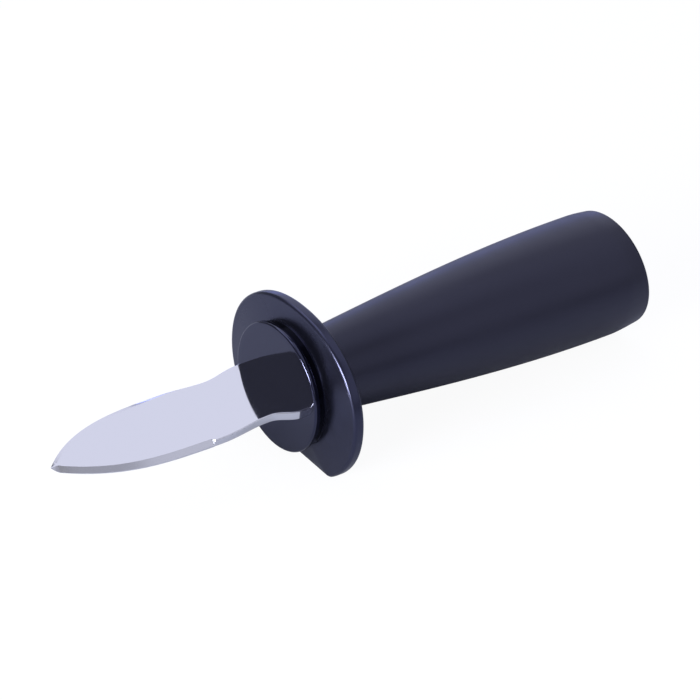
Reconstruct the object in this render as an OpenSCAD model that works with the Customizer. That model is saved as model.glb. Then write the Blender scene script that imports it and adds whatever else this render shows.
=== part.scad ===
// Oyster knife: a short spear blade set through an oval hand guard into a
// round tapering handle with a slanted butt. +X points to the tip, +Z is up,
// and the flat foot of the guard lies on the plane z = 0.

/* [Blade] */
// Length of the blade in front of the guard's hub
blade_len = 60.5; // [50:0.5:70]
// Thickness of the blade at the hub
blade_t = 2.2; // [1.8:0.1:3]
// Thickness of the blade at its tip
tip_t = 1.5; // [1.5:0.1:1.8]
// Greatest width of the spear
spear_w = 21.9; // [20:0.1:24]
// Width of the blade at the waist behind the spear
waist_w = 19.2; // [16:0.1:19.6]
// Width of the shoulders where the blade enters the hub
shoulder_w = 23.6; // [20:0.1:26]
// Width of the steep bevel along the near edge, seen from above
bevel_w = 1.1; // [0.6:0.1:1.6]
// Height of the steep bevel
bevel_h = 1.3; // [0.8:0.1:1.3]
// Width of the shallow bevel along the far edge, seen from above
far_bevel_w = 1.6; // [0.8:0.1:2.4]
// Height of the shallow bevel
far_bevel_h = 0.25; // [0.15:0.05:0.6]
// Height of the blade's middle plane above the hub's centre
blade_rise = -0.35; // [-1:0.05:1]

/* [Tang] */
// Length of the tang behind the hub's front face
tang_len = 52; // [40:1:54]
// Width of the tang
tang_w = 9; // [6:0.5:10]

/* [Guard] */
// Radius of the round hub
hub_r = 16; // [15:0.5:16.5]
// Height of the hub in front of the guard's rim
hub_h = 4.4; // [4:0.1:6]
// Rounding of the hub's front edge
hub_edge = 0.5; // [0.2:0.1:1]
// Width of the oval guard
guard_w = 50.6; // [44:0.2:56]
// Height of the full oval, before its foot is cut flat
guard_h = 42.8; // [38:0.2:48]
// Thickness of the guard at its rim
guard_t = 3; // [2.5:0.1:5]
// Rise of the guard's front face from its rim to its middle, which the hub covers
guard_rise = 3.4; // [0:0.2:3.6]
// Rounding of the guard's edges
guard_edge = 0.9; // [0.3:0.1:1.2]
// Distance from the hub's centre down to the flat foot
foot_drop = 17.1; // [16.6:0.1:18]
// Drop of the oval's centre below the hub's centre
oval_drop = 0.9; // [0:0.1:1.5]

/* [Handle] */
// Length of the handle behind the guard, measured on its axis
handle_len = 96.6; // [85:0.1:110]
// Radius of the handle at the guard
neck_r = 9.6; // [8.5:0.1:12]
// Greatest radius of the handle, near the butt
belly_r = 16; // [15:0.1:16.2]
// Radius of the handle where the butt's edge begins
butt_r = 15.2; // [14.4:0.1:15.6]
// Slant of the butt, with its lower side further back
butt_slant = 7.8; // [0.2:0.2:9]
// Rounding of the butt's edge
butt_edge = 1.3; // [0.8:0.1:3]

/* [Hidden] */

$fn = 96;
// Overlap that lets joined shapes share volume
lap = 0.5;
// Clear distance by which a cut runs past what it cuts
past = 1;

// The two sides of the blade, first the near side (+Y), then the far side
waist_u = [7.8, 13.6];
spear_u = [22.7, 24.7];
waist_half = [waist_w / 2 - 0.2, waist_w / 2 + 0.2];
spear_half = [spear_w / 2 + 0.1, spear_w / 2 - 0.1];
// Straight start of each side in front of the hub
shoulder_run = [0.8, 0];
// Shape of each side from the shoulder to the waist and from the spear to the tip
shoulder_power = [1, 1.42];
tip_power = [3.38, 3.16];
// Where the bevels begin, measured from the hub's face
plunge_u = 25;
// Half the width of the blunt tip
tip_half = 0.3;
// Half the width of the bevelled top where it ends before the tip
ridge_half = 0.1;
// Distance between the ends of the bevelled top and of the edge, in bevel widths
ridge_back = 1.4;
// Depth to which the shoulders sit inside the hub
shoulder_depth = 2.5;
// Clearance of the slot around the blade and its tang
slot_gap = 0.05;

// Round spigot behind the guard, which the handle is pushed onto
spigot_r = 7;
spigot_len = 50;
// Space between the spigot's end and the end of its bore
bore_gap = 1;
// Pin across the spigot and the tang
pin_r = 1.5;
pin_back = 36;
// Distance by which each end of the pin stays below the spigot's surface
pin_sunk = 0.1;

// Share of the handle's length at which it is thickest, and the curves up to it
// and down from it
belly_at = 0.92;
belly_power = 1.05;
fall_power = 1.4;
// Rings along the handle's side
handle_rings = 28;
// Corner of the butt in its own turned axes: radius, then depth from the flat
// face. It stops short of a quarter turn, so that it meets the side at an angle.
corner_turn = 70;
butt_corner = [for (a = [0:10:corner_turn])
    [butt_r + lap / 2 - butt_edge + butt_edge * sin(a), butt_edge * (1 - cos(a))]];
// Distance by which the butt's lower edge reaches past the axis
butt_reach = max([for (p = butt_corner) p[0] * sin(butt_slant) - p[1] * cos(butt_slant)]);

// Height of the handle's axis above the foot
axis_z = foot_drop;
// Front face of the hub, with the origin below the middle of the knife
face_x = (hub_h + guard_t + handle_len + butt_reach - blade_len) / 2;
// Front and back faces of the guard
guard_x = face_x - hub_h;
back_x = guard_x - guard_t;
pin_x = face_x - pin_back;
// Underside of the blade
blade_z = axis_z + blade_rise - blade_t / 2;

// Half the blade's width on one side at a distance u from the hub's face
function blade_half(u, side) =
    u < waist_u[side]
        ? waist_half[side] + (shoulder_w / 2 - waist_half[side])
            * (1 + cos(180 * pow(max(0, u - shoulder_run[side]) / (waist_u[side] - shoulder_run[side]),
                shoulder_power[side]))) / 2
    : u < spear_u[side]
        ? waist_half[side] + (spear_half[side] - waist_half[side])
            * (1 - cos(180 * (u - waist_u[side]) / (spear_u[side] - waist_u[side]))) / 2
    : spear_half[side] * (1 - pow((u - spear_u[side]) / (blade_len - spear_u[side]), tip_power[side]));

// Outline between two distances from the hub, drawn in by a margin on each side
module blade_outline(from, to, margin, least, steps) {
    near = [for (i = [0:steps]) let (u = from + (to - from) * i / steps)
        [face_x + u, max(least, blade_half(u, 0) - margin[0])]];
    far = [for (i = [steps:-1:0]) let (u = from + (to - from) * i / steps)
        [face_x + u, -max(least, blade_half(u, 1) - margin[1])]];
    polygon(concat(near, far));
}

// Spear in front of the plunge, with a bevel along each upper edge
module spear() {
    // Inset of the near bevel at the height at which the far bevel begins
    part_w = bevel_w * (1 - far_bevel_h / bevel_h);
    hull() {
        linear_extrude(blade_t - bevel_h)
            blade_outline(plunge_u, blade_len, [0, 0], tip_half, 36);
        linear_extrude(blade_t - far_bevel_h)
            blade_outline(plunge_u, blade_len - part_w * ridge_back, [part_w, 0], ridge_half, 36);
        linear_extrude(blade_t)
            blade_outline(plunge_u, blade_len - bevel_w * ridge_back, [bevel_w, far_bevel_w], ridge_half, 36);
    }
}

// Wedge below the blade that thins it evenly from the hub to the tip
module taper_cut() {
    translate([face_x, -spear_w, 0])
        rotate([0, -atan((blade_t - tip_t) / blade_len), 0])
            translate([0, 0, -blade_t])
                cube([blade_len * 1.5, 2 * spear_w, blade_t]);
}

// Flat tang, which runs through the guard into the handle
module tang(gap = 0) {
    translate([face_x - tang_len - gap, -tang_w / 2 - gap, -gap])
        cube([tang_len + gap, tang_w + 2 * gap, blade_t + 2 * gap]);
}

// Shoulders, which sit in the slot of the hub
module shoulders(gap = 0, front = 0) {
    translate([face_x - shoulder_depth - gap, -shoulder_w / 2 - gap, -gap])
        cube([shoulder_depth + gap + front, shoulder_w + 2 * gap, blade_t + 2 * gap]);
}

// Bore for the pin, across the blade's plane
module pin_hole() {
    translate([pin_x, 0, axis_z - spigot_r - past])
        cylinder(h = 2 * (spigot_r + past), r = pin_r);
}

// Blade, stamped from one strip together with its tang
module blade() {
    color("lightsteelblue")
    difference() {
        translate([0, 0, blade_z])
            difference() {
                union() {
                    spear();
                    linear_extrude(blade_t)
                        blade_outline(0, plunge_u, [0, 0], tip_half, 24);
                    shoulders();
                    tang();
                }
                taper_cut();
            }
        pin_hole();
    }
}

// Oval plate with rounded edges, as tall as guard_h, with a front face that slopes
// back from its middle to its rim
module oval_plate() {
    e = guard_edge;
    r = guard_h / 2;
    translate([back_x, 0, axis_z - oval_drop])
        scale([1, guard_w / guard_h, 1])
            rotate([0, 90, 0])
                rotate_extrude($fn = 128)
                    union() {
                        polygon([[0, 0], [r - e, 0], [r - e, guard_t], [0, guard_t + guard_rise]]);
                        translate([0, e])
                            square([r, guard_t - 2 * e]);
                        translate([r - e, e])
                            circle(e, $fn = 32);
                        translate([r - e, guard_t - e])
                            circle(e, $fn = 32);
                    }
}

// Round hub with a rounded front edge
module hub() {
    corner = [for (a = [0:15:90]) [hub_r - hub_edge * (1 - cos(a)), hub_h - hub_edge * (1 - sin(a))]];
    translate([guard_x, 0, axis_z])
        rotate([0, 90, 0])
            rotate_extrude()
                polygon(concat([[0, -lap], [hub_r, -lap]], corner, [[0, hub_h]]));
}

// Guard: the hub, the oval plate with its flat foot, and the spigot
module guard() {
    color("#23222c")
    difference() {
        union() {
            difference() {
                oval_plate();
                translate([back_x - past, -guard_w, -guard_h])
                    cube([guard_t + 2 * past, 2 * guard_w, guard_h]);
            }
            hub();
            translate([back_x - spigot_len, 0, axis_z])
                rotate([0, 90, 0])
                    cylinder(h = spigot_len + lap, r = spigot_r);
        }
        translate([0, 0, blade_z]) {
            tang(slot_gap);
            shoulders(slot_gap, past);
        }
        pin_hole();
    }
}

// Radius of the handle at a distance s behind the guard, from 0 to 1
function handle_r(s) =
    s < belly_at
        ? neck_r + (belly_r - neck_r) * sin(90 * pow(s / belly_at, belly_power))
        : belly_r - (belly_r - butt_r) * pow((s - belly_at) / (1 - belly_at), fall_power);

// Round side of the handle, run past the butt
module handle_side() {
    side = [for (i = [0:handle_rings]) [handle_r(i / handle_rings), i / handle_rings * handle_len]];
    translate([back_x, 0, axis_z])
        rotate([0, -90, 0])
            rotate_extrude()
                polygon(concat([[0, 0]], side, [[butt_r, handle_len + 3 * past], [0, handle_len + 3 * past]]));
}

// Space that the slanted butt leaves to the handle: flat behind, with a rounded
// corner that opens out into a cone
module butt_limit() {
    corner_end = butt_corner[len(butt_corner) - 1];
    flare = handle_len / tan(corner_turn);
    cone_end = [corner_end[0] + flare, corner_end[1] + handle_len];
    translate([back_x - handle_len, 0, axis_z])
        rotate([0, 90 + butt_slant, 0])
            rotate_extrude()
                polygon(concat([[0, 0]], butt_corner, [cone_end, [0, cone_end[1]]]));
}

// Handle: a round grip that swells towards its slanted butt
module handle() {
    color("#2b2936")
    difference() {
        intersection() {
            handle_side();
            butt_limit();
        }
        translate([back_x + past, 0, axis_z])
            rotate([0, -90, 0])
                cylinder(h = spigot_len + bore_gap + past, r = spigot_r);
    }
}

// Pin that locks the tang in the spigot
module tang_pin() {
    length = 2 * (sqrt(spigot_r * spigot_r - pin_r * pin_r) - pin_sunk);
    color("silver")
    translate([pin_x, 0, axis_z - length / 2])
        cylinder(h = length, r = pin_r, $fn = 48);
}

blade();
guard();
handle();
tang_pin();
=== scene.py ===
"""Oyster knife: the looks of the blade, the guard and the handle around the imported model."""

import math

import bmesh
import bpy
import numpy as np
from mathutils import Matrix, Vector


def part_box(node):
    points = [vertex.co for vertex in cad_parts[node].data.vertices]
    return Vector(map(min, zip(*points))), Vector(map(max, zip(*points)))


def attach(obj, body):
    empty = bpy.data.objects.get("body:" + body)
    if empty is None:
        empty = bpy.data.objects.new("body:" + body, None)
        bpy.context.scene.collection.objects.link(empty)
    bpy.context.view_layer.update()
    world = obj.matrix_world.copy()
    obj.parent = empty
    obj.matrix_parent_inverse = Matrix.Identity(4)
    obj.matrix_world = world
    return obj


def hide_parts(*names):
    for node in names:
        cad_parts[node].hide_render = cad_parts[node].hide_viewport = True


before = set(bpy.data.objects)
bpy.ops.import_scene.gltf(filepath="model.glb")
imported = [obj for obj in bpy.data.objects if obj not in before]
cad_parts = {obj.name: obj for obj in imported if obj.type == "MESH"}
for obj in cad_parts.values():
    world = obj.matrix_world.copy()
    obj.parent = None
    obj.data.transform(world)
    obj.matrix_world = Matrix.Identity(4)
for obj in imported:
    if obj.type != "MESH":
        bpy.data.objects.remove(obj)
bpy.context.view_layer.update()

MM = 0.001

# Places that the frame gives, in metres
BLADE_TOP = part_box("blade")[1][2]
TIP_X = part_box("blade")[1][0]
GUARD_LOW, GUARD_HIGH = (np.array(corner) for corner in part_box("guard"))
HANDLE_LOW, HANDLE_HIGH = (np.array(corner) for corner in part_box("handle"))
HUB_X = GUARD_HIGH[0]
BACK_X = HANDLE_HIGH[0]
FOOT_Z = GUARD_LOW[2]
AXIS_Z = (HANDLE_LOW[2] + HANDLE_HIGH[2]) / 2

# Camera of the photograph: where it looks from, its roll, the distance to the hub's
# centre, its focal length in pixels, and the pixel at which that centre is seen
VIEW_AZIMUTH = 141.6
VIEW_ELEVATION = 33.6
VIEW_ROLL = 4.04
VIEW_DISTANCE = 600 * MM
FOCAL_PIXELS = 2569.0
HUB_PIXEL = (275.5, 387.65)
IMAGE_PIXELS = 700
SENSOR_MM = 36.0
CLIP_NEAR = 10 * MM
CLIP_FAR = 50000 * MM

# Hub: a front disc of thickness DISC_T with a shallow groove behind it. As far back as
# POLISHED_T its gloss is finer, and within the groove its reflection is cut down as painted shade.
HUB_R = 16 * MM
HUB_HEIGHT = 4.4 * MM
HUB_EDGE = 0.5 * MM
HUB_EDGE_STEPS = 10
HUB_FACE_RINGS = (0.3, 0.6, 0.9)
DISC_T = 1.45 * MM
HUB_BACK_EDGE = 0.15 * MM
HUB_BACK_STEPS = ((1, 0), (0.3, 0.3), (0, 1))
GROOVE_R = 15.5 * MM
POLISHED_T = 3.1 * MM

# Guard: an oval whose middle lies OVAL_DROP under the handle's axis. A power of 2 would
# make it a true ellipse. Its front face rises from the rim, by GUARD_RISE at most.
GUARD_HALF_Y = (GUARD_HIGH[1] - GUARD_LOW[1]) / 2
GUARD_HALF_Z = 21.4 * MM
GUARD_POWER = 2.1
GUARD_RISE = 3.4 * MM
GUARD_EDGE = 0.9 * MM
GUARD_EDGE_STEPS = 12
SLOPE_RINGS = (0.33, 0.67)
FOOT_EDGE = 0.1 * MM
OVAL_DROP = 0.9 * MM
OVAL_Z = AXIS_Z - OVAL_DROP
POINTS_OVER = 220
POINTS_UNDER = 40

# Blade, with distances measured from the hub's face. Where a name has two values, they
# are for the near side (+Y) and for the far side.
BLADE_T = 2.2 * MM
TIP_T = 1.32 * MM
THIN_POWER = 1.5
TIP_EXTRA = 0.4 * MM
BLADE_LEN = TIP_X + TIP_EXTRA - HUB_X
SHOULDER_DEPTH = 2 * MM
SHOULDER_HALF = 11.8 * MM
SHOULDER_RUN = (0.8 * MM, 0)
SHOULDER_POWER = (1, 1.42)
WAIST_U = (7.8 * MM, 13.6 * MM)
WAIST_HALF = (9.38 * MM, 9.79 * MM)
SPEAR_U = (22.7 * MM, 24.7 * MM)
SPEAR_HALF = (11.07 * MM, 10.85 * MM)
TIP_POWER = (3.38, 3.16)

# Its point: over the last TIP_RUN the thickness falls to the share TIP_LEFT, and the
# underside rises by the share TIP_LIFT of the thickness
TIP_HALF = 0.08 * MM
TIP_RUN = 1.7 * MM
TIP_POINT = 1.5
TIP_LEFT = 0.05
TIP_LIFT = 0.8
TIP_SHIFT = 0.5 * MM
SHIFT_POWER = 8

# Its edges: round at the waist, and bevelled from the plunge to the tip. The bevel's
# width on each side, and the wall left under the near one, run from a first value at
# the plunge to a second at the tip; the far bevel has one height. A bevel takes at most
# the share BEVEL_MOST of half the width. FLAT_STRIP is the first row of the flat faces.
TOP_ROUND = 0.3 * MM
LOW_ROUND = 0.25 * MM
BEVEL_W = ((0.92 * MM, 1.2 * MM), (0.99 * MM, 1.3 * MM))
BEVEL_MOST = 0.8
NEAR_WALL = (0.45 * MM, 0.12 * MM)
FAR_BEVEL_H = 0.25 * MM
BEVEL_FINE = 0.04 * MM
FLAT_STRIP = 0.12 * MM

# Its plunge: where the ground edge starts, the run over which the waist's edge turns
# into it, and how much longer that run is at the top, as a share
PLUNGE_U = (24.2 * MM, 16 * MM)
PLUNGE_RUN = (0.35 * MM, 18 * MM)
PLUNGE_FLARE = (1, 0)

# Points up one side: round its lower corner, then over its wall and bevel. The bevel's
# are shares of the way up to its ridge, and the crest's are sizes of the fine round.
LOW_POINTS = 5
TOP_POINTS = 12
BEVEL_SHARES = (*np.linspace(0, 0.96, TOP_POINTS - 3), 0.98)
CREST_STEPS = ((0.5, 0.1), (2, 0))

# Where its sections stand closer: over some lengths of the near plunge, and at the tip
PLUNGE_LENGTHS = 4
TIP_SHARE = 0.96
BLADE_STEPS = (90, 17, 100, 30)

# Handle: its radius grows from the neck to the belly, and falls a little to the butt
NECK_R = 9.6 * MM
BELLY_R = (HANDLE_HIGH[2] - HANDLE_LOW[2]) / 2
BUTT_R = 15.25 * MM
BELLY_AT = 0.92
BELLY_POWER = 1.053
FALL_POWER = 1.44
HANDLE_LEN = 96.6 * MM
BUTT_SLANT = math.tan(math.radians(7.9))
SLANT_RUN = 24 * MM
BUTT_EDGE = 1.35 * MM
BUTT_EDGE_STEPS = 20
BUTT_RINGS = (0.8, 0.6, 0.4, 0.2)
HANDLE_POINTS = 160
HANDLE_STEPS = 130

# The last ring of the guard's back, hidden by the handle's neck
GUARD_BACK_R = NECK_R * 0.7

# Angles, in degrees, from which a piece's edges stay sharp
BLADE_SHARP = 25
GUARD_SHARP = 50
HANDLE_SHARP = 60

# Steel: linear colours, roughness, what grinding adds to it, and the faint streaks. The
# stops are pairs of how far a face looks up and its share of that grinding.
STEEL_COLOR = (0.80, 0.80, 0.83, 1)
STEEL_ROUGH = 0.05
STEEL_GROUND = 0.14
PIN_COLOR = (0.6, 0.6, 0.62, 1)
PIN_ROUGH = 0.3
STREAK_SCALE = 900
STREAK_STRETCH = (0.12, 1, 1)
STREAK_ROUGH = (0.7, 1.4)
GROUND_STOPS = ((0.3, 0), (0.45, 1), (0.96, 1), (0.99, 0))

# Plastic: the hub's finer roughness, the reflection taken from its groove as painted shade,
# and the scale of the uneven gloss, with the strength of the surface texture
HUB_ROUGH = 0.08
GROOVE_SHADE = 0.8
PATCH_SCALE = 60
GRAIN_STRENGTH = 0.35

# The range of a noise texture that is spread over a wanted range
NOISE_RANGE = (0.3, 0.7)

# Floor and world: only camera rays see the white, the rest see a plain grey studio
FLOOR_HALF = 4000 * MM
FLOOR_STEPS = 8
FLOOR_Z = -0.2 * MM
FLOOR_COLOR = (0.52, 0.54, 0.61, 1)
FLOOR_ROUGH = 0.9
FLOOR_WHITE = 1.1
FLOOR_SHARE = 0.85
STUDIO_TINT = (0.90, 0.92, 1.1)
STUDIO_LIGHT = 0.22
PLAIN_TINT = (1, 1, 1)
RIM_TINT = (0.45, 0.53, 1.2)

# Lamps: name, direction from the knife, then distance, width and height in metres, how
# bright the lamp is to look at, and its tint
LAMPS = (
    ("window", (-0.52, -0.68, 0.55), 1.2, 1.1, 0.85, 0.66, STUDIO_TINT),
    ("top", (-0.55, 0.10, 0.83), 1.2, 0.8, 0.9, 0.5, STUDIO_TINT),
    ("fill", (-0.46, 0.77, 0.45), 1.2, 1.55, 0.8, 0.22, STUDIO_TINT),
    ("side", (-0.15, 0.82, 0.57), 1.2, 2.2, 1, 0.2, STUDIO_TINT),
    ("rim", (-0.58, -0.8, 0.08), 1.2, 0.75, 0.2, 1.6, RIM_TINT),
    ("edge", (0.93, 0.22, 0.29), 0.9, 0.45, 0.22, 38, PLAIN_TINT),
    ("zenith", (0, 0, 1), 1.3, 0.7, 0.7, 0.4, STUDIO_TINT),
    ("roof", (0.15, -0.45, 0.88), 1.1, 0.85, 0.9, 1.2, STUDIO_TINT),
)


def new_mesh(name, verts, faces):
    """A smooth mesh object from vertices in metres, with its normals outward."""
    mesh = bpy.data.meshes.new(name)
    mesh.from_pydata([tuple(v) for v in verts], [], faces)
    bm = bmesh.new()
    bm.from_mesh(mesh)
    bmesh.ops.remove_doubles(bm, verts=bm.verts, dist=1e-7)
    bmesh.ops.recalc_face_normals(bm, faces=bm.faces)
    for face in bm.faces:
        face.smooth = True
    bm.to_mesh(mesh)
    bm.free()
    obj = bpy.data.objects.new(name, mesh)
    bpy.context.scene.collection.objects.link(obj)
    return obj


def harden(obj, degrees):
    """Marks edges sharper than an angle, so that smooth faces keep their corners."""
    bm = bmesh.new()
    bm.from_mesh(obj.data)
    for edge in bm.edges:
        if len(edge.link_faces) == 2 and edge.calc_face_angle() > math.radians(degrees):
            edge.smooth = False
    bm.to_mesh(obj.data)
    bm.free()


def loft(rings):
    """Vertices and faces of a capped tube through rings with equal numbers of points."""
    verts = np.concatenate(rings)
    count = len(rings[0])
    faces = []
    for i in range(len(rings) - 1):
        a = i * count
        b = a + count
        for j in range(count):
            k = (j + 1) % count
            faces.append((a + j, a + k, b + k, b + j))
    faces.append(tuple(range(count)))
    faces.append(tuple(range(len(verts) - count, len(verts))))
    return verts, faces


def quarter(steps):
    """Sine and cosine pairs round a quarter turn."""
    return [(math.sin(a), math.cos(a)) for a in np.linspace(0, math.pi / 2, steps)]


def ease(x, low, high):
    """Share of the way of x from low to high, held between 0 and 1."""
    return min(1.0, max(0.0, (x - low) / (high - low)))


def between(pair, share):
    """The value at a share of the way from the first of a pair to the second."""
    return pair[0] + (pair[1] - pair[0]) * share


def blade_half(u, side):
    """Half the blade's width on one side at a distance u in front of the hub."""
    waist, spear = WAIST_HALF[side], SPEAR_HALF[side]
    if u < WAIST_U[side]:
        run = SHOULDER_RUN[side]
        turn = math.pi * (max(u - run, 0) / (WAIST_U[side] - run)) ** SHOULDER_POWER[side]
        return waist + (SHOULDER_HALF - waist) * (1 + math.cos(turn)) / 2
    if u < SPEAR_U[side]:
        turn = math.pi * (u - WAIST_U[side]) / (SPEAR_U[side] - WAIST_U[side])
        return waist + (spear - waist) * (1 - math.cos(turn)) / 2
    s = (u - SPEAR_U[side]) / (BLADE_LEN - SPEAR_U[side])
    return max(TIP_HALF, spear * (1 - s ** TIP_POWER[side]))


def waist_edge(half, low, top):
    """Points (y, z) of the waist's edge, rounded below and above."""
    below = [(half - LOW_ROUND * (1 - s), low + LOW_ROUND * (1 - c)) for s, c in quarter(LOW_POINTS)]
    above = [(half - TOP_ROUND * (1 - c), top - TOP_ROUND * (1 - s)) for s, c in quarter(TOP_POINTS)]
    return np.array(below + above)


def ground_edge(half, low, top, width, wall, fine):
    """Points (y, z) of a ground edge: a fine round, a wall and a bevel of a width, with
    the bevel's crest eased into the flat."""
    ridge, corner = np.array([half - width, top]), np.array([half, wall])
    points = [(half - fine * 2 * (1 - s), low + fine * (1 - c)) for s, c in quarter(LOW_POINTS)]
    points += [corner + (ridge - corner) * share for share in BEVEL_SHARES]
    points += [ridge - fine * np.array(step) for step in CREST_STEPS]
    return np.array(points)


def blade_profile(u, side):
    """Points (y, z) of one side from the flat underside up to the flat top."""
    nose = ease(u, BLADE_LEN - TIP_RUN, BLADE_LEN) ** TIP_POINT
    thick = TIP_T + (BLADE_T - TIP_T) * (1 - ease(u, 0, BLADE_LEN)) ** THIN_POWER
    left = between((1, TIP_LEFT), nose)
    low = BLADE_TOP - thick * (1 - TIP_LIFT * nose)
    top = low + thick * left
    half = blade_half(u, side)
    along = ease(u, PLUNGE_U[side], BLADE_LEN)
    width = min(between(BEVEL_W[side], along), half * BEVEL_MOST)
    wall = low + between(NEAR_WALL, along) * left if side == 0 else top - FAR_BEVEL_H * left
    height = np.concatenate([np.zeros(LOW_POINTS), np.linspace(0, 1, TOP_POINTS)])
    run = PLUNGE_RUN[side] * (1 + PLUNGE_FLARE[side] * height)
    ground = np.clip((u - PLUNGE_U[side]) / run, 0, 1)[:, None]
    edge = ground_edge(half, low, top, width, wall, BEVEL_FINE * left)
    points = waist_edge(half, low, top) * (1 - ground) + edge * ground
    strip = np.array([min(FLAT_STRIP, points[-1][0] / 2), 0])
    return np.concatenate([[points[0] - strip], points, [points[-1] - strip]])


def blade_section(u):
    """Closed section of the blade at a distance u in front of the hub."""
    near, far = blade_profile(u, 0), blade_profile(u, 1)[::-1] * (-1, 1)
    yz = np.concatenate([near, far])
    yz[:, 0] += TIP_SHIFT * ease(u, SPEAR_U[0], BLADE_LEN) ** SHIFT_POWER
    return np.column_stack([np.full(len(yz), HUB_X + u), yz])


def make_blade():
    """The spear, its bevels, the waist and the shoulders that enter the hub."""
    plunge_end = PLUNGE_U[0] + PLUNGE_LENGTHS * PLUNGE_RUN[0]
    places = (-SHOULDER_DEPTH, PLUNGE_U[0], plunge_end, BLADE_LEN * TIP_SHARE, BLADE_LEN)
    stations = [-SHOULDER_DEPTH]
    for start, end, steps in zip(places, places[1:], BLADE_STEPS):
        stations.extend(np.linspace(start, end, steps)[1:])
    verts, faces = loft([blade_section(u) for u in stations])
    return new_mesh("blade_steel", verts, faces)


def handle_radius(s):
    """Radius of the handle at a share s of its length behind the guard."""
    if s < BELLY_AT:
        return NECK_R + (BELLY_R - NECK_R) * math.sin(math.pi / 2 * (s / BELLY_AT) ** BELLY_POWER)
    return BELLY_R - (BELLY_R - BUTT_R) * ((s - BELLY_AT) / (1 - BELLY_AT)) ** FALL_POWER


def handle_ring(d, shrink=0.0, share=1.0):
    """A ring of the handle at a distance d behind the guard, leaning near the butt. Its
    radius is drawn in by shrink, then scaled by share."""
    turn = np.linspace(0, 2 * math.pi, HANDLE_POINTS, endpoint=False)
    slant = BUTT_SLANT * ease(d, HANDLE_LEN - SLANT_RUN, HANDLE_LEN)
    side = min(d, HANDLE_LEN - BUTT_EDGE)
    lean = slant * handle_radius(side / HANDLE_LEN)
    r = np.array([handle_radius((side - lean * s) / HANDLE_LEN) for s in np.sin(turn)])
    r = (r - shrink) * share
    z = r * np.sin(turn)
    return np.stack([BACK_X - d + slant * z, r * np.cos(turn), AXIS_Z + z], 1)


def make_handle():
    """The round grip, whose butt is slanted and has a rounded edge."""
    rings = [handle_ring(d) for d in np.linspace(0, HANDLE_LEN - BUTT_EDGE, HANDLE_STEPS)]
    for sin_a, cos_a in quarter(BUTT_EDGE_STEPS)[1:]:
        rings.append(handle_ring(HANDLE_LEN - BUTT_EDGE * (1 - sin_a), BUTT_EDGE * (1 - cos_a)))
    rings += [handle_ring(HANDLE_LEN, BUTT_EDGE, share) for share in BUTT_RINGS]
    verts, faces = loft(rings)
    return new_mesh("handle_grip", verts, faces)


def oval_corner(inset, foot):
    """Turn from +Y at which the oval, drawn in by inset, meets the foot's plane."""
    low = (foot - OVAL_Z) / (GUARD_HALF_Z - inset)
    return -math.asin(min(1.0, abs(low)) ** (GUARD_POWER / 2))


def ring_turns(corner):
    """Turns from the right end of the foot over the top, then back along the foot."""
    over = np.linspace(corner, math.pi - corner, POINTS_OVER)
    under = np.linspace(math.pi - corner, 2 * math.pi + corner, POINTS_UNDER + 2)[1:-1]
    return over, under


def oval_share(values):
    """Sines or cosines, changed so that they follow the guard's squarer oval."""
    return np.sign(values) * np.abs(values) ** (2 / GUARD_POWER)


def face_rise(y, z):
    """How far the guard's sloped front face stands above its rim."""
    reach_y, reach_z = GUARD_HALF_Y - GUARD_EDGE, GUARD_HALF_Z - GUARD_EDGE
    out = np.abs((z - OVAL_Z) / reach_z) ** GUARD_POWER + np.abs(y / reach_y) ** GUARD_POWER
    down = (AXIS_Z - z) / (AXIS_Z - FOOT_Z)
    return GUARD_RISE * np.maximum(0, 1 - np.maximum(out ** (1 / GUARD_POWER), down))


def guard_outline(x, inset, foot_inset, rise=True):
    """The flat-footed oval at x, drawn in by inset, and by foot_inset at the foot."""
    foot = FOOT_Z + foot_inset
    over, under = ring_turns(oval_corner(inset, foot))
    y = (GUARD_HALF_Y - inset) * oval_share(np.cos(over))
    z = OVAL_Z + (GUARD_HALF_Z - inset) * oval_share(np.sin(over))
    y = np.concatenate([y, np.linspace(y[-1], y[0], len(under) + 2)[1:-1]])
    z = np.concatenate([z, np.full(len(under), foot)])
    return np.stack([x + rise * face_rise(y, z), y, z], 1)


def hub_ring(x, r):
    """A ring of the round hub, with the guard outline's number of points."""
    turn = np.concatenate(ring_turns(oval_corner(0, FOOT_Z)))
    return np.stack([np.full(len(turn), x), r * np.cos(turn), AXIS_Z + r * np.sin(turn)], 1)


def hub_rings():
    """Rings from the hub's face over its front disc to the groove behind it."""
    rings = [hub_ring(HUB_X, (HUB_R - HUB_EDGE) * share) for share in HUB_FACE_RINGS]
    for sin_a, cos_a in quarter(HUB_EDGE_STEPS):
        rings.append(hub_ring(HUB_X - HUB_EDGE * (1 - cos_a), HUB_R - HUB_EDGE * (1 - sin_a)))
    back = HUB_X - DISC_T
    for lift, inset in HUB_BACK_STEPS:
        rings.append(hub_ring(back + HUB_BACK_EDGE * lift, HUB_R - HUB_BACK_EDGE * inset))
    rings.append(hub_ring(back, GROOVE_R))
    return rings


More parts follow.
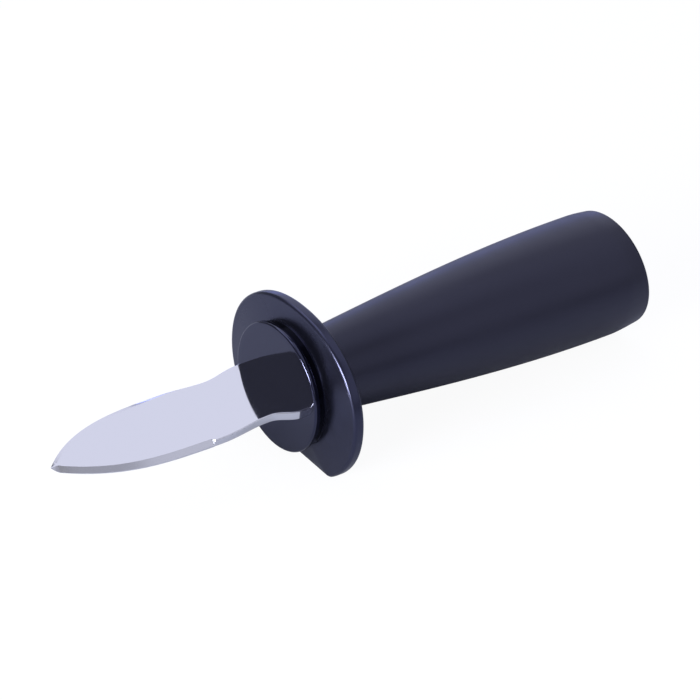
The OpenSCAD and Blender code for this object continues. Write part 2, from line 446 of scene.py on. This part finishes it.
def make_guard():
    """The hub and the oval plate, with rounded edges, as one closed skin."""
    face_x = HUB_X - HUB_HEIGHT
    root = hub_ring(face_x, GROOVE_R)
    root[:, 0] += face_rise(root[:, 1], root[:, 2])
    edge = guard_outline(face_x, GUARD_EDGE, FOOT_EDGE)
    rings = hub_rings() + [root] + [root + (edge - root) * share for share in SLOPE_RINGS]
    for sin_a, cos_a in quarter(GUARD_EDGE_STEPS):
        x = face_x - GUARD_EDGE * (1 - cos_a)
        rings.append(guard_outline(x, GUARD_EDGE * (1 - sin_a), FOOT_EDGE * (1 - sin_a)))
    for sin_a, cos_a in quarter(GUARD_EDGE_STEPS):
        x = BACK_X + GUARD_EDGE * (1 - sin_a)
        rings.append(guard_outline(x, GUARD_EDGE * (1 - cos_a), FOOT_EDGE * (1 - cos_a), False))
    rings.append(hub_ring(BACK_X, GUARD_BACK_R))
    verts, faces = loft(rings)
    return new_mesh("guard_moulding", verts, faces)


def new_material(name):
    """A material with its node tree's nodes and links, and its main shader."""
    mat = bpy.data.materials.new(name)
    mat.use_nodes = True
    nodes, links = mat.node_tree.nodes, mat.node_tree.links
    return mat, nodes, links, nodes["Principled BSDF"]


def math_node(nodes, links, operation, source, *values):
    """The result of a calculation on a source, with the other inputs as fixed values."""
    node = nodes.new("ShaderNodeMath")
    node.operation = operation
    links.new(source, node.inputs[0])
    for place, value in enumerate(values, 1):
        node.inputs[place].default_value = value
    return node.outputs["Value"]


def noise_node(nodes, links, scale, detail, stretch=(1, 1, 1)):
    """Noise in the object's own coordinates."""
    coords = nodes.new("ShaderNodeTexCoord")
    mapping = nodes.new("ShaderNodeMapping")
    mapping.inputs["Scale"].default_value = stretch
    links.new(coords.outputs["Object"], mapping.inputs["Vector"])
    noise = nodes.new("ShaderNodeTexNoise")
    noise.inputs["Scale"].default_value = scale
    noise.inputs["Detail"].default_value = detail
    links.new(mapping.outputs["Vector"], noise.inputs["Vector"])
    return noise.outputs["Fac"]


def remap(nodes, links, source, low, high):
    """A noise value spread over low..high."""
    node = nodes.new("ShaderNodeMapRange")
    node.inputs["From Min"].default_value = NOISE_RANGE[0]
    node.inputs["From Max"].default_value = NOISE_RANGE[1]
    node.inputs["To Min"].default_value = low
    node.inputs["To Max"].default_value = high
    links.new(source, node.inputs["Value"])
    return node.outputs["Result"]


def plastic(name, color, ior, level, shine, rough, spread, grain_scale, grain_height):
    """Moulded plastic with uneven gloss and a fine surface texture."""
    mat, nodes, links, bsdf = new_material(name)
    bsdf.inputs["Base Color"].default_value = color
    bsdf.inputs["IOR"].default_value = ior
    bsdf.inputs["Specular IOR Level"].default_value = level
    bsdf.inputs["Specular Tint"].default_value = shine
    patches = noise_node(nodes, links, PATCH_SCALE, detail=3)
    links.new(remap(nodes, links, patches, rough - spread, rough + spread), bsdf.inputs["Roughness"])
    bump = nodes.new("ShaderNodeBump")
    bump.inputs["Strength"].default_value = GRAIN_STRENGTH
    bump.inputs["Distance"].default_value = grain_height
    links.new(noise_node(nodes, links, grain_scale, detail=4), bump.inputs["Height"])
    links.new(bump.outputs["Normal"], bsdf.inputs["Normal"])
    return mat


def object_x(nodes, links):
    """The X of the shaded point in the object's own coordinates."""
    coords = nodes.new("ShaderNodeTexCoord")
    split = nodes.new("ShaderNodeSeparateXYZ")
    links.new(coords.outputs["Object"], split.inputs["Vector"])
    return split.outputs["X"]


def polish_front(mat, place, smooth):
    """Gives the part of a plastic in front of an X a finer gloss."""
    nodes, links = mat.node_tree.nodes, mat.node_tree.links
    rough = nodes["Principled BSDF"].inputs["Roughness"]
    mix = nodes.new("ShaderNodeMix")
    front = math_node(nodes, links, "GREATER_THAN", object_x(nodes, links), place)
    links.new(front, mix.inputs["Factor"])
    links.new(rough.links[0].from_socket, mix.inputs["A"])
    mix.inputs["B"].default_value = smooth
    links.new(mix.outputs["Result"], rough)


def painted_shade_band(mat, low, high, loss):
    """Paints shade on a plastic between two X values, by lowering its reflection there."""
    nodes, links = mat.node_tree.nodes, mat.node_tree.links
    level = nodes["Principled BSDF"].inputs["Specular IOR Level"]
    middle, reach = (low + high) / 2, (high - low) / 2
    band = math_node(nodes, links, "COMPARE", object_x(nodes, links), middle, reach)
    links.new(math_node(nodes, links, "MULTIPLY_ADD", band, -loss, level.default_value), level)


def steel_skin(name, color, rough, ground=0.0):
    """Polished steel with faint streaks along X; faces that lie aslant are ground, and
    rougher by the amount given."""
    mat, nodes, links, bsdf = new_material(name)
    bsdf.inputs["Base Color"].default_value = color
    bsdf.inputs["Metallic"].default_value = 1.0
    streaks = noise_node(nodes, links, STREAK_SCALE, detail=3, stretch=STREAK_STRETCH)
    gloss = remap(nodes, links, streaks, rough * STREAK_ROUGH[0], rough * STREAK_ROUGH[1])
    facing = nodes.new("ShaderNodeNewGeometry")
    rise = nodes.new("ShaderNodeSeparateXYZ")
    links.new(facing.outputs["True Normal"], rise.inputs["Vector"])
    aslant = nodes.new("ShaderNodeValToRGB")
    stops = aslant.color_ramp.elements
    for place, share in GROUND_STOPS[1:-1]:
        stops.new(place).color = (share, share, share, 1)
    for stop, (place, share) in ((stops[0], GROUND_STOPS[0]), (stops[-1], GROUND_STOPS[-1])):
        stop.position = place
        stop.color = (share, share, share, 1)
    links.new(rise.outputs["Z"], aslant.inputs["Fac"])
    total = nodes.new("ShaderNodeMath")
    total.operation = "MULTIPLY_ADD"
    total.inputs[1].default_value = ground
    links.new(aslant.outputs["Color"], total.inputs[0])
    links.new(gloss, total.inputs[2])
    links.new(total.outputs["Value"], bsdf.inputs["Roughness"])
    return mat


def make_camera():
    """The photograph's camera."""
    a, e, r = (math.radians(v) for v in (VIEW_AZIMUTH, VIEW_ELEVATION, VIEW_ROLL))
    back = Vector((math.sin(a) * math.cos(e), -math.cos(a) * math.cos(e), math.sin(e)))
    level = Vector((math.cos(a), math.sin(a), 0))
    rise = back.cross(level)
    right = level * math.cos(r) + rise * math.sin(r)
    up = rise * math.cos(r) - level * math.sin(r)
    centre = IMAGE_PIXELS / 2
    off_x = (HUB_PIXEL[0] - centre) / FOCAL_PIXELS * VIEW_DISTANCE
    off_y = (centre - HUB_PIXEL[1]) / FOCAL_PIXELS * VIEW_DISTANCE
    hub = Vector((HUB_X, 0, AXIS_Z))
    place = hub - right * off_x - up * off_y + back * VIEW_DISTANCE
    data = bpy.data.cameras.new("camera")
    data.sensor_width = SENSOR_MM
    data.lens = FOCAL_PIXELS / IMAGE_PIXELS * SENSOR_MM
    data.clip_start = CLIP_NEAR
    data.clip_end = CLIP_FAR
    camera = bpy.data.objects.new("camera", data)
    bpy.context.scene.collection.objects.link(camera)
    turn = Matrix((right, up, back)).transposed().to_4x4()
    camera.matrix_world = Matrix.Translation(place) @ turn
    bpy.context.scene.camera = camera


def whiten(nodes, links, plain, white, share, surface):
    """Sends a shader to a surface, with a share of white in it for camera rays."""
    path = nodes.new("ShaderNodeLightPath")
    mix = nodes.new("ShaderNodeMixShader")
    seen = math_node(nodes, links, "MULTIPLY", path.outputs["Is Camera Ray"], share)
    links.new(seen, mix.inputs["Fac"])
    links.new(plain, mix.inputs[1])
    links.new(white, mix.inputs[2])
    links.new(mix.outputs["Shader"], surface)


def make_floor():
    """A white floor that keeps a soft shadow."""
    grid = np.linspace(-FLOOR_HALF, FLOOR_HALF, FLOOR_STEPS + 1)
    verts = [(x, y, FLOOR_Z) for y in grid for x in grid]
    row = FLOOR_STEPS + 1
    corners = [j * row + i for j in range(FLOOR_STEPS) for i in range(FLOOR_STEPS)]
    faces = [(at, at + 1, at + row + 1, at + row) for at in corners]
    floor = new_mesh("floor", verts, faces)
    mat, nodes, links, bsdf = new_material("floor_white")
    bsdf.inputs["Base Color"].default_value = FLOOR_COLOR
    bsdf.inputs["Roughness"].default_value = FLOOR_ROUGH
    glow = nodes.new("ShaderNodeEmission")
    glow.inputs["Color"].default_value = (1, 1, 1, 1)
    glow.inputs["Strength"].default_value = FLOOR_WHITE
    surface = nodes["Material Output"].inputs["Surface"]
    whiten(nodes, links, bsdf.outputs["BSDF"], glow.outputs["Emission"], FLOOR_SHARE, surface)
    floor.data.materials.append(mat)


def make_world():
    """Plain soft studio light, faintly blue as in the photograph."""
    world = bpy.data.worlds.new("studio")
    bpy.context.scene.world = world
    world.use_nodes = True
    nodes, links = world.node_tree.nodes, world.node_tree.links
    sky = nodes["Background"]
    sky.inputs["Color"].default_value = (*STUDIO_TINT, 1)
    sky.inputs["Strength"].default_value = STUDIO_LIGHT
    white = nodes.new("ShaderNodeBackground")
    white.inputs["Color"].default_value = (1, 1, 1, 1)
    white.inputs["Strength"].default_value = 1
    surface = nodes["World Output"].inputs["Surface"]
    whiten(nodes, links, sky.outputs["Background"], white.outputs["Background"], 1, surface)


def make_lamp(name, toward, reach, width, height, glow, tint):
    """A soft lamp in a direction from the knife, as bright to look at as glow."""
    data = bpy.data.lights.new(name, "AREA")
    data.shape = "RECTANGLE"
    data.size = width
    data.size_y = height
    data.energy = glow * math.pi * width * height
    data.color = tint
    lamp = bpy.data.objects.new(name, data)
    bpy.context.scene.collection.objects.link(lamp)
    aim = -Vector(toward).normalized()
    turn = aim.to_track_quat("-Z", "Y").to_matrix().to_4x4()
    lamp.matrix_world = Matrix.Translation(-aim * reach) @ turn


make_camera()
make_floor()
make_world()
for lamp in LAMPS:
    make_lamp(*lamp)

steel = steel_skin("steel", STEEL_COLOR, STEEL_ROUGH, STEEL_GROUND)
gloss_black = plastic(
    "gloss_black", color=(0.001, 0.001, 0.002, 1), ior=1.55, level=1.0, shine=(0.56, 0.59, 1, 1),
    rough=0.28, spread=0.02, grain_scale=400, grain_height=0.01 * MM,
)
polish_front(gloss_black, HUB_X - POLISHED_T, HUB_ROUGH)
# Painted shade: the groove behind the hub's disc reflects less, so that it looks shaded
painted_shade_band(gloss_black, HUB_X - POLISHED_T, HUB_X - DISC_T, GROOVE_SHADE)
satin_black = plastic(
    "satin_black", color=(0.004, 0.004, 0.008, 1), ior=1.5, level=0.85, shine=(0.65, 0.66, 0.95, 1),
    rough=0.4, spread=0.04, grain_scale=2600, grain_height=0.03 * MM,
)

for piece, node, mat, slot, sharp in (
    (make_blade(), "blade", steel, "steel", BLADE_SHARP),
    (make_guard(), "guard", gloss_black, "gloss_black", GUARD_SHARP),
    (make_handle(), "handle", satin_black, "satin_black", HANDLE_SHARP),
):
    harden(piece, sharp)
    piece.data.materials.append(mat)
    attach(piece, "root")
    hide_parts(node)

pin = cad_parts["tang_pin"]
pin.data.materials.clear()
pin.data.materials.append(steel_skin("pin_steel", PIN_COLOR, PIN_ROUGH))

bpy.context.scene.view_settings.view_transform = "Standard"
